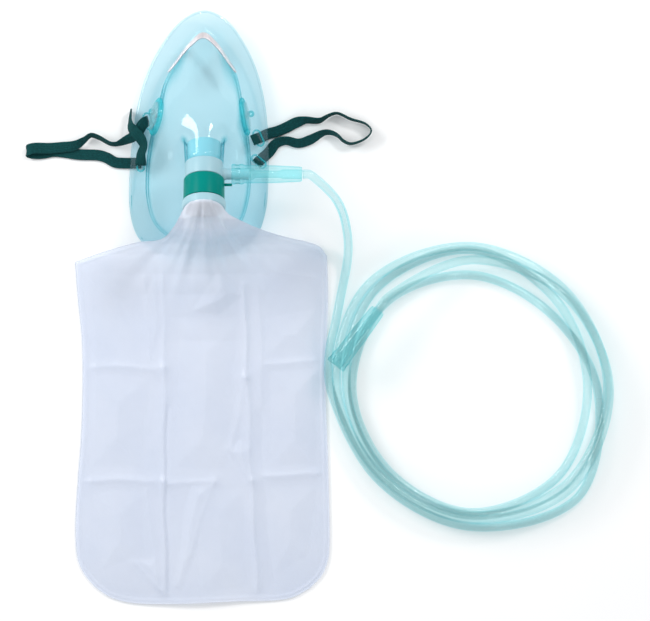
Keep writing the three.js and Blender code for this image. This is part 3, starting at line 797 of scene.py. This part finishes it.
def make_nose_clip():
    """A thin strip laid over the nose, narrowing at its two ends."""
    rows = []
    for i in range(CLIP_STEPS + 1):
        station = CLIP_STATIONS * (2 * i / CLIP_STEPS - 1)
        low = dome_point(station, CLIP_SHARE)
        up = dome_point(station, CLIP_SHARE + 0.07) - low
        up /= np.linalg.norm(up)
        beside = dome_point(station + 0.1, CLIP_SHARE) - low
        out = np.cross(up, beside)
        out /= np.linalg.norm(out)
        base = low + CLIP_LIFT * out
        from_end = CLIP_STEPS / 2 - abs(i - CLIP_STEPS / 2)
        half = CLIP_HALF_WIDTH * min(1.0, from_end / 2.5 + 0.35)
        outline = [(-half, 0), (half, 0), (half, CLIP_THICKNESS), (-half, CLIP_THICKNESS)]
        rows.append([base + (CLIP_HALF_WIDTH + w) * up + t * out for w, t in rounded(outline, 0.3, 3)])
    around = len(rows[0])
    vertices = (np.array(rows).reshape(-1, 3) + FROM_MASK) * MM
    faces = grid_faces(len(rows), around)
    faces.append(tuple(range(around)))
    faces.append(tuple(reversed(range((len(rows) - 1) * around, len(rows) * around))))
    return mesh_object("nose_strip", vertices, faces, ALUMINIUM)


# ---- Tee, valve body and neck ring ----
TEE_MATRIX = frame_matrix(PORT_BASE, PORT_AXIS, X_AXIS)


def ring_part(profile, radius):
    return revolve(rounded(profile, radius), RING_SEGMENTS, TEE_MATRIX)


def make_spigot():
    """The end of the tee that goes into the mask's port."""
    end = PORT_LENGTH + 0.2
    sleeve = [(TEE_BORE_RADIUS, 2), (SPIGOT_RADIUS, 2), (SPIGOT_RADIUS, end), (TEE_BORE_RADIUS, end)]
    return mesh_object("tee_spigot", *ring_part(sleeve, 0.3), SPIGOT)


def make_tee():
    start = PORT_LENGTH + JOINT_GAP
    body = ring_part([
        (TEE_BORE_RADIUS, start), (TEE_RADIUS, start), (TEE_RADIUS, TEE_END), (TEE_BORE_RADIUS, TEE_END),
    ], 0.45)
    nipple = revolve(rounded([
        (2, 8.9), (4.3, 8.9), (3.9, 12.2), (3.3, 13.4), (3.3, 26.2), (2.9, 27), (2, 27),
    ], 0.3), 36, frame_matrix(NIPPLE_POINT, X_AXIS, Z_AXIS))
    return mesh_object("tee_body", *joined([body, nipple]), MILKY)


def make_valve_body():
    start = TEE_END + JOINT_GAP
    tube = ring_part([
        (VALVE_BORE_RADIUS, start), (VALVE_RADIUS - 0.5, start), (VALVE_RADIUS, TEE_END + 1.2),
        (VALVE_RADIUS + 0.1, VALVE_END), (VALVE_BORE_RADIUS, VALVE_END),
    ], 0.35)
    tab = box_part(TEE_MATRIX, (VALVE_RADIUS + 1.9, 0, TEE_END + 3.9), (5.2, 1.6, 1.5))
    return mesh_object("valve_ring", *joined([tube, tab]), TEAL)


def make_neck_ring():
    start = VALVE_END + JOINT_GAP
    ring = ring_part([
        (NECK_RING_BORE_RADIUS, start), (NECK_RING_RADIUS - 0.7, start),
        (NECK_RING_RADIUS, VALVE_END + 1.3), (NECK_RING_RADIUS, NECK_RING_END - 0.8),
        (NECK_RING_RADIUS - 0.6, NECK_RING_END), (NECK_RING_BORE_RADIUS, NECK_RING_END),
    ], 0.4)
    return mesh_object("neck_collar", *ring, MILKY)


# ---- Elastic bands, one on each side of the mask ----
STRAP_WIDTH = 6.5
STRAP_THICKNESS = 1.0
STRAP_RIBS = 5
STRAP_STEP = 1.2
FLAT = 0.7
FOLD_X = 103.5
# x, y, z in millimetres, the direction of the band's width in degrees from +X, and its rise:
# 0 where the band lies flat and 90 where it stands on its edge.
LEFT_LOOP = [
    (-30, 111.9, 4.9, 105, 0), (-30.7, 111.7, 5.8, 105, 0), (-32, 111.1, 6.8, 105, 0),
    (-33.6, 109.6, 7, 110, 0), (-35.7, 106, 6.9, 120, 8), (-39.1, 102.4, 7.1, 110, 20),
    (-42.8, 100.5, 5.7, 100, 40), (-48.3, 98.2, 3.5, 90, 65), (-52.6, 98.2, 3.5, 90, 70),
    (-59.9, 102, 3.4, 90, 65), (-64.5, 103.3, 3.4, 90, 65), (-68.5, 100.5, 3.5, 90, 50),
    (-74, 97.2, 3.4, 90, 25), (-81.9, 96.1, 2.7, 90, 8), (-89.9, 95.5, 3.3, 90, 0),
    (-97.9, 95.6, 4.6, 90, 0), (-101.6, 94.8, 4.5, 90, 0), (-102.9, 93.8, 3.1, 90, 0),
    (-101.6, 92.9, 1.7, 90, 0), (-98, 92.3, 0.9, 90, 0), (-93, 92.5, FLAT, 90, 0),
    (-87, 93.6, FLAT, 90, 0), (-80, 93, FLAT, 90, 0), (-72.1, 91.8, FLAT, 90, 0),
    (-59.9, 91.3, FLAT, 90, 0), (-55, 89.8, FLAT, 90, 0), (-50.1, 87.1, FLAT, 90, 0),
    (-45.2, 86.6, FLAT, 90, 0), (-38.6, 86.6, FLAT, 90, 0), (-36.2, 86.6, 1.3, 90, 0),
    (-35, 86.6, 2.7, 90, 0), (-34.6, 86.6, 4.4, 90, 0), (-34.5, 86.6, 6.3, 90, 0),
]
LEFT_TAIL = [
    (-34.6, 85.2, 6, 0, 0), (-34.5, 88.2, 6.9, 0, 20), (-34.2, 92.5, 8, 0, 40),
    (-32.9, 96.5, 8.9, 10, 45), (-34.5, 101.1, 9.3, 20, 15), (-37.9, 105.1, 8.7, 30, 10),
    (-40.6, 108.5, 6.7, 20, 50), (-41, 112.1, 5, 10, 75), (-40.4, 118.6, 3.6, 0, 88),
]
RIGHT_LOOP = [
    (32.4, 100.1, 8.4, 114, 0), (34, 100.8, 6.9, 114, 0), (35.4, 101.4, 5.8, 114, 0),
    (36, 101.6, 4.2, 114, 0), (36.8, 101.9, 2.4, 114, 0), (38.8, 102.8, 0.9, 110, 0),
    (42.4, 104.4, FLAT, 105, 0), (47, 105.6, FLAT, 95, 0), (52.9, 108.1, FLAT, 95, 3),
    (58.7, 111, 1.6, 90, 15), (63.9, 112.4, 3, 90, 48), (72.4, 112.1, 3.3, 90, 58),
    (78.2, 115.2, 3.5, 90, 75), (83.1, 116.5, 3.6, 90, 80), (91.3, 113, 3.6, 90, 80),
    (100.5, 110, 3.6, 90, 85), (FOLD_X + 0.2, 106, 3.6, 90, 90), (100.5, 101.6, 3.6, 90, 85),
    (91.3, 98.2, 3.6, 90, 80), (86.9, 99.9, 3.5, 90, 75), (83.5, 103.1, 3.5, 90, 70),
    (78.9, 105, 3.3, 90, 62), (75, 104.8, 3.2, 90, 55), (66.5, 100.4, 2.1, 90, 25),
    (60, 98.5, 2.3, 90, 30), (52.2, 100.1, 2.7, 90, 38), (46.3, 98.2, 2, 105, 25),
    (42.7, 93.6, 0.8, 130, 3), (40, 91, FLAT, 140, 0), (38, 89.4, 0.7, 140, 0),
    (36.9, 88.3, 1.4, 140, 0), (36.3, 87.7, 3.4, 140, 0), (35.8, 87.1, 5.4, 140, 0),
    (35.1, 86.3, 6.7, 140, 0),
]


def strap_section():
    """Half the ribbed outline above the band's middle, then the half below it."""
    steps = STRAP_RIBS * 6
    top = []
    for i in range(steps + 1):
        across = i / steps
        bump = abs(math.sin(math.pi * STRAP_RIBS * across)) ** 0.6
        edge = min(1.0, 6 * min(across, 1 - across) + 0.25)
        top.append(((across - 0.5) * STRAP_WIDTH, STRAP_THICKNESS * (0.28 + 0.22 * bump) * edge))
    return top + [(w, -t) for w, t in reversed(top)]


def band_mesh(route):
    """A ribbed elastic band along a route of middle points, directions and rises."""
    points = np.array([p[:3] for p in route], float)
    places = np.linspace(0, len(route) - 1, 16 * len(route))
    line = catmull_rom(points, places)
    turns = [np.interp(places, range(len(route)), [p[c] for p in route]) for c in (3, 4)]
    run = run_along(line)
    even = np.linspace(0, run[-1], int(run[-1] / STRAP_STEP))
    line = np.column_stack([np.interp(even, run, line[:, a]) for a in range(3)])
    direction, rise = (np.radians(np.interp(even, run, turn)) for turn in turns)
    forward = np.gradient(line, axis=0)
    forward /= np.linalg.norm(forward, axis=1)[:, None]
    flat = np.cos(rise)
    across = np.column_stack([flat * np.cos(direction), flat * np.sin(direction), np.sin(rise)])
    across -= forward * (across * forward).sum(axis=1)[:, None]
    across /= np.linalg.norm(across, axis=1)[:, None]
    thick = np.cross(across, forward)
    section = strap_section()
    vertices = []
    for point, side, up in zip(line, across, thick):
        vertices.extend((point + w * side + t * up) * MM for w, t in section)
    around = len(section)
    rows = len(line)
    faces = grid_faces(rows, around)
    faces.append(tuple(reversed(range(around))))
    faces.append(tuple(range((rows - 1) * around, rows * around)))
    return vertices, faces


def make_straps():
    left = mesh_object("elastic_left", *joined([band_mesh(LEFT_LOOP), band_mesh(LEFT_TAIL)]), ELASTIC)
    right = mesh_object("elastic_right", *band_mesh(RIGHT_LOOP), ELASTIC)
    return left, right


# ---- Reservoir bag ----
BAG_TOP_LEFT = [(-74.1, 27.3), (-59.1, 32.7), (-47.1, 36.3), (-35.1, 39.3), (-25, 40.2), (-20.1, 42),
                (-14.1, 48.5), (-10.6, 54.4)]
BAG_TOP_RIGHT = [(18.9, 55.4), (27.9, 50.8), (35.1, 47.7), (45.9, 44.1), (54.9, 41.7), (65.7, 39.3),
                 (72.9, 36.3), (77.1, 30.9)]
BAG_LEFT = [(-74.1, 27.3), (-72.3, 4.5), (-69.9, -19.5), (-69.6, -55.5), (-70.5, -79.5), (-72.3, -103.5),
            (-73.8, -133.5), (-72.3, -151.5), (-68.1, -160.5), (-62.1, -167.7)]
BAG_RIGHT = [(77.1, 30.9), (77.7, 4.5), (76.6, -25.5), (76.4, -55.5), (77.5, -85.5), (78.3, -115.5),
             (78.6, -142.5), (77.7, -151.5), (74.1, -160.5), (66.9, -168.3)]
BAG_BOTTOM = [(-62.1, -167.7), (-53.1, -173.7), (-41.1, -177), (-14.1, -177.8), (18.9, -176.4),
              (54.9, -174.3), (66.9, -168.3)]
NECK_X = (-8.3, 15.9)
NECK_Y = 58.0
NECK_RADIUS = 12.1
BAG_SPINE_Y = [-200, -20, -6, 8, 20, 32, 38, 42.5, 46.5, 52.5, 57, 66]
BAG_SPINE_Z = [2.6, 2.8, 5.2, 9.6, 16, 26.5, 34.5, 43, 52.5, 60.2, 61, 60.5]
BAG_EDGE_Z = [0.6, 0.6, 0.9, 1.4, 2.4, 5.5, 9.5, 15, 30, 52, 58, 60.5]
BAG_TENT = 27  # half width of the tent that the neck holds up
BAG_X = 3.2
BAG_HALF_WIDTH = 62
NECK_MIDDLE = 3.8
NECK_LEAN = 0.42  # how far the gathered film leans back for each millimetre of height
WELD = 2.2
WELD_BEAD = 0.45
FILM_GAP = 0.12  # least height above the table, and half the distance between the films
PUFF_HEIGHT = 2.4
PUFF_REACH = 11
FOLD_REACH = 6
FOLD_DEPTH = 1.45
FACET_TOP = 1.4
FAN_HEIGHT = 1.7
BAG_COLUMNS = 170
BAG_ROWS = 230


def edge_curve(points, places):
    """Points along an open outline by share of its length."""
    flat = [(x, y, 0) for x, y in points]
    dense = catmull_rom(flat, np.linspace(0, len(flat) - 1, 30 * len(flat)))
    run = run_along(dense)
    return np.column_stack([np.interp(np.asarray(places) * run[-1], run, dense[:, a]) for a in (0, 1)])


def bag_plan():
    """The bag's outline filled by a grid of rows from the neck to the foot."""
    top_points = BAG_TOP_LEFT + [(NECK_X[0], NECK_Y), (NECK_X[1], NECK_Y)] + BAG_TOP_RIGHT
    u = np.linspace(0, 1, BAG_COLUMNS + 1)
    v = np.linspace(0, 1, BAG_ROWS + 1) ** 1.15
    top, bottom = edge_curve(top_points, u), edge_curve(BAG_BOTTOM, u)
    left, right = edge_curve(BAG_LEFT, v), edge_curve(BAG_RIGHT, v)
    uu, vv = u[None, :, None], v[:, None, None]
    grid = (1 - vv) * top[None] + vv * bottom[None] + (1 - uu) * left[:, None] + uu * right[:, None]
    corners = ((1 - uu) * (1 - vv) * top[0] + uu * (1 - vv) * top[-1]
               + (1 - uu) * vv * bottom[0] + uu * vv * bottom[-1])
    return grid - corners, top, bottom, left, right


def distance_to(points, line):
    """Distance of each plan point from a polyline."""
    best = np.full(points.shape[:2], 1e9)
    for a, b in zip(line[:-1], line[1:]):
        d = b - a
        t = np.clip(((points - a) @ d) / max(d @ d, 1e-9), 0, 1)
        best = np.minimum(best, np.linalg.norm(points - a - t[..., None] * d, axis=2))
    return best


def segment_distance(x, y, x0, y0, x1, y1):
    """Distance of plan points from one straight crease."""
    dx, dy = x1 - x0, y1 - y0
    along = np.clip(((x - x0) * dx + (y - y0) * dy) / (dx * dx + dy * dy), 0, 1)
    return np.hypot(x - x0 - along * dx, y - y0 - along * dy)


# Creases that the film keeps from being folded flat: both ends, height and half width in millimetres.
CREASES = [
    (-20.5, 26, -21.5, -36, 1.0, 3.2), (-21.5, -36, -20, -104, 1.2, 3.0),
    (-20, -104, -20.5, -172, 1.3, 2.6),
    (-31.5, 18, -29.5, -30, 0.7, 4.0), (-30, -110, -25, -165, 0.6, 4.0),
    (-18.6, -60, -18.3, -170, -0.8, 1.6),
    (28, 14, 27.6, -42, 1.0, 1.8), (28.5, -42, 32.5, -104, 1.0, 2.8), (33, -104, 34.5, -170, 1.1, 2.4),
    (36.5, 10, 37, -60, 0.6, 3.6), (37, -60, 44, -165, -0.5, 4.0),
    (-68, -36, -27, -37, 0.9, 3.4), (-68, -104.5, -27, -104.5, 1.1, 2.8),
    (40, -34, 73, -33, 0.8, 3.4), (40, -101, 74, -101, 1.0, 2.8), (-18, -106, 10, -103, 0.8, 2.6),
    (27.5, -41, 20, -84, 0.5, 3.0), (20, -84, 31, -103, 0.6, 2.4), (-38, -154, -21, -172, 0.8, 2.6),
    (10, -104, -6, -150, 0.6, 3.0), (-66, 20, -30, -20, 0.35, 7.0), (44, 22, 72, 16, 0.5, 3.4),
]
# Flat-sided puckers between the creases: corners anticlockwise, and slope of the sides.
FACETS = [
    ([(13.6, 25), (-4, -2), (12, -3), (28.5, 8)], 0.2),
    ([(-24, 22), (-32, 6), (-28, -28), (-20.5, -6)], 0.14),
    ([(-4, -106), (-16, -168), (-10, -170), (10, -104)], 0.16),
    ([(26, -78), (19, -86), (31, -104), (33, -84)], 0.2),
    ([(-38, -152), (-22, -173), (-21, -160), (-26, -150)], 0.2),
    ([(40, -6), (38, -30), (70, -30), (72, -2)], 0.08),
    ([(-66, -40), (-64, -96), (-34, -96), (-30, -42)], 0.07),
    ([(42, -38), (44, -94), (72, -96), (72, -38)], 0.07),
    ([(-12, -8), (-14, -96), (18, -96), (22, -10)], 0.06),
    ([(-62, -112), (-58, -158), (-34, -150), (-30, -110)], 0.07),
    ([(42, -108), (44, -160), (66, -150), (72, -108)], 0.07),
    ([(-2, -108), (0, -168), (28, -168), (28, -108)], 0.06),
]


def facet(x, y, corners, slope):
    """A low pyramid with sharp edges, cut off flat at FACET_TOP."""
    height = np.full(x.shape, FACET_TOP)
    for (x0, y0), (x1, y1) in zip(corners, corners[1:] + corners[:1]):
        inward = ((x1 - x0) * (y - y0) - (y1 - y0) * (x - x0)) / math.hypot(x1 - x0, y1 - y0)
        height = np.minimum(height, slope * inward)
    return np.maximum(height, 0)


def bag_folds(x, y):
    """Height of the creases and puckers that the film keeps from its packing, in millimetres."""
    wander_x = x + 0.9 * np.sin(y / 23) + 0.4 * np.sin(y / 7.3 + x / 31)
    wander_y = y + 0.9 * np.sin(x / 19 + 1) + 0.4 * np.sin(x / 6.1)
    fold = 0.3 * np.sin(x / 9 + 1.3 * np.sin(y / 33)) * np.sin(y / 41 + x / 60)
    for x0, y0, x1, y1, height, width in CREASES:
        fold += height * np.exp(-segment_distance(wander_x, wander_y, x0, y0, x1, y1) / width)
    for corners, slope in FACETS:
        fold += facet(wander_x, wander_y, corners, slope)
    return FOLD_DEPTH * fold / (1 + np.exp((y - 26) / 5))


def neck_fan(x, y):
    """Folds that fan out from the neck and die away down the bag."""
    dx, dy = x - NECK_MIDDLE, y - BAG_SPINE_Y[-1]
    away = np.hypot(dx, dy)
    angle = np.arctan2(dx, -dy)
    waves = np.sin(13 * angle + 0.7) + 0.6 * np.sin(23 * angle + 2.1) + 0.35 * np.sin(37 * angle)
    growth = np.clip((away - 5) / 10, 0, 1) * np.exp(-np.clip(away - 24, 0, None) / 20)
    return FAN_HEIGHT * waves * growth


def make_bag():
    """Two films welded round the edge, tented up to a round neck."""
    plan, top, bottom, left, right = bag_plan()
    x, y = plan[..., 0], plan[..., 1]
    neck_left, neck_right = NECK_X
    on_neck = (top[:, 0] >= neck_left) & (top[:, 0] <= neck_right) & (top[:, 1] > NECK_Y - 1)
    first = np.argmax(on_neck)
    last = len(top) - 1 - np.argmax(on_neck[::-1])
    edge = distance_to(plan, np.concatenate([top[: first + 1][::-1], left, bottom]))
    edge = np.minimum(edge, distance_to(plan, np.concatenate([top[last:], right])))
    spine = np.interp(y, BAG_SPINE_Y, BAG_SPINE_Z)
    low = np.interp(y, BAG_SPINE_Y, BAG_EDGE_Z)
    tent = np.exp(-(((x - BAG_X) / BAG_TENT) ** 2))
    far = np.exp(-((np.abs(x - BAG_X) / BAG_HALF_WIDTH) ** 4))
    middle = 0.6 + (low - 0.6) * far + (spine - low) * tent
    inside = np.clip(edge - WELD, 0, None)
    puff = PUFF_HEIGHT * (1 - np.exp(-inside / PUFF_REACH))
    collar = np.clip((y - 40) / 18, 0, 1) ** 1.5
    round_neck = np.sqrt(np.clip(NECK_RADIUS**2 - (x - NECK_MIDDLE) ** 2, 0, None))
    half = FILM_GAP + puff * (1 - collar) + round_neck * collar
    open_share = np.clip(inside / FOLD_REACH, 0, 1)
    folds = (bag_folds(x, y) + neck_fan(x, y) * (1 - 0.45 * collar)) * open_share
    bead = WELD_BEAD * np.exp(-(((edge - WELD) / 0.7) ** 2)) * (1 - collar)
    upper = middle + half + bead + np.maximum(folds, -0.7 * half)
    lower = np.maximum(middle - half + 0.25 * folds * (1 - collar), FILM_GAP)
    upper = np.maximum(upper, lower + 0.2)
    shift = NECK_LEAN * collar
    films = [np.stack([x, y + shift * (height - middle), height], axis=2) for height in (upper, lower)]
    rows, columns = x.shape
    vertices = np.concatenate([film.reshape(-1, 3) for film in films]) * MM
    count = rows * columns
    faces = [tuple(reversed(f)) for f in grid_faces(rows, columns, wrap_around=False)]
    faces += grid_faces(rows, columns, wrap_around=False, first=count)
    rim = [i * columns for i in range(rows)] + [(rows - 1) * columns + j for j in range(1, columns)]
    rim += [i * columns + columns - 1 for i in range(rows - 2, -1, -1)]
    rim += range(columns - 2, last - 1, -1)
    head = range(first + 1)
    faces += [(a, b, b + count, a + count) for a, b in zip(rim[:-1], rim[1:])]
    faces += [(b, a, a + count, b + count) for a, b in zip(head[:-1], head[1:])]
    return mesh_object("bag_film", vertices, faces, FILM)


# ---- Table, light ----
def make_table():
    corners = ((-1, -1), (1, -1), (1, 1), (-1, 1))
    vertices = [(TABLE_HALF * x, TABLE_HALF * y, TABLE_Z) for x, y in corners]
    table = mesh_object("table", vertices, [(0, 1, 2, 3)], table_paint(), smooth=False)


def make_light(name, location, size, power):
    data = bpy.data.lights.new(name, "AREA")
    data.shape = "RECTANGLE"
    data.size, data.size_y = size
    data.energy = power
    light = bpy.data.objects.new(name, data)
    light.location = location
    aim = LIGHT_TARGET - Vector(location)
    light.rotation_euler = aim.to_track_quat("-Z", "Y").to_euler()
    bpy.context.scene.collection.objects.link(light)


def make_lights():
    world = bpy.data.worlds.new("studio")
    bpy.context.scene.world = world
    world.use_nodes = True
    feed(world.node_tree.nodes["Background"], {"Color": SKY_COLOUR, "Strength": SKY_STRENGTH})
    for light in LIGHTS:
        make_light(*light)
    bpy.context.scene.view_settings.view_transform = "Standard"


# ---- Assembly ----
def carry(piece, body, slot, *nodes):
    """Hide the CAD nodes that a piece stands in for, if any, and attach it to the body it rides on. The
    slot is not used.
    """
    if nodes:
        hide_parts(*nodes)
    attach(piece, body)


def main():
    make_camera()
    tubing, path = make_tubing()
    mask_connector = make_mask_connector()
    supply_connector = make_supply_connector()
    carry(tubing, "supply", "clear_teal_pvc", "tubing_lead", "tubing_coil")
    carry(mask_connector, "supply", "clear_teal_pvc", "mask_connector")
    carry(supply_connector, "supply", "clear_teal_pvc", "supply_connector")
    carry(make_mask(), "mask", "clear_teal_pvc", "mask_shell")
    carry(make_mask_trim(), "mask", "clear_teal_pvc")
    carry(make_nose_clip(), "mask", "aluminium", "nose_clip")
    left_strap, right_strap = make_straps()
    carry(left_strap, "mask", "elastic", "strap_left")
    carry(right_strap, "mask", "elastic", "strap_right")
    carry(make_tee(), "supply", "milky_plastic", "tee_housing")
    carry(make_spigot(), "supply", "milky_plastic")
    carry(make_valve_body(), "supply", "teal_plastic", "valve_body")
    carry(make_neck_ring(), "supply", "milky_plastic", "bag_neck_ring")
    bag = make_bag()
    carry(bag, "supply", "bag_film", "reservoir_bag")
    for name in ("check_valve_disc", "exhalation_disc_left", "exhalation_disc_right"):
        materials = frame["nodes"][name].data.materials
        materials.clear()
        materials.append(SILICONE)
    make_table()
    make_lights()


main()
